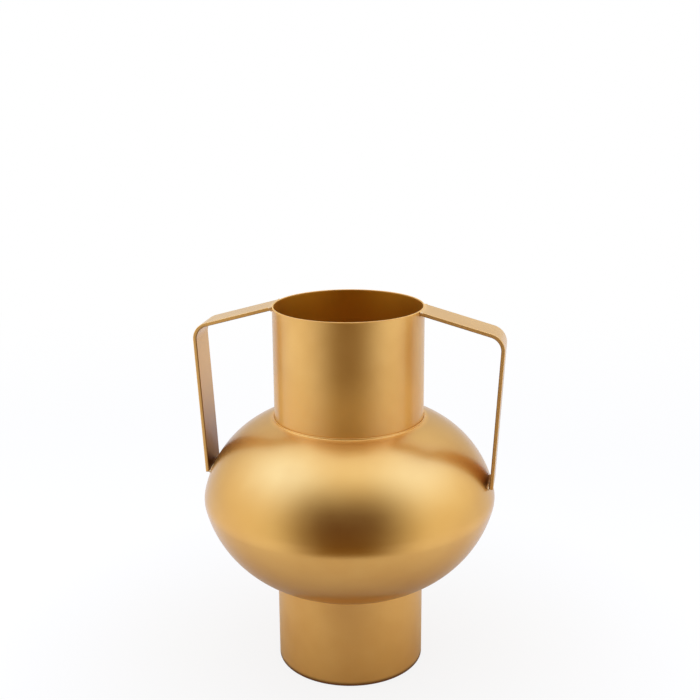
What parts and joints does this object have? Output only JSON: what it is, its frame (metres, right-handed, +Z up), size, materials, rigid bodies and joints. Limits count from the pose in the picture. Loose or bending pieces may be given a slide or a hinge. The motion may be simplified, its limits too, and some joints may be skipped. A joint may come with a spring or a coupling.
{
  "type": "urn vase",
  "caption": "Gold sheet-metal urn vase with a straight open neck, a wide flattened belly, a tube foot and flat bent strap handles.",
  "frame": {"origin": "centre of the felt's underside, on the surface that the vase stands on", "axes": "+Z up along the vase's axis, +X towards the right handle, +Y away from the front"},
  "size_m": [0.2064, 0.197, 0.2504],
  "materials": {
    "gold_sheet": "satin gold lacquer on spun and rolled sheet",
    "gold_weld": "satin gold lacquer over braze and weld",
    "felt": "pressed wool felt"
  },
  "bodies": {
    "root": {"neck_tube": "gold_sheet", "upper_shell": "gold_sheet", "lower_shell": "gold_sheet", "foot_tube": "gold_sheet", "base_disc": "gold_sheet", "right_handle": "gold_sheet", "left_handle": "gold_sheet", "handle_top_welds": "gold_weld", "handle_end_welds": "gold_weld", "seam_weld_bead": "gold_weld", "neck_braze_ring": "gold_weld", "foot_braze_ring": "gold_weld", "base_braze_ring": "gold_weld", "felt_disc": "felt"}
  },
  "joints": []
}
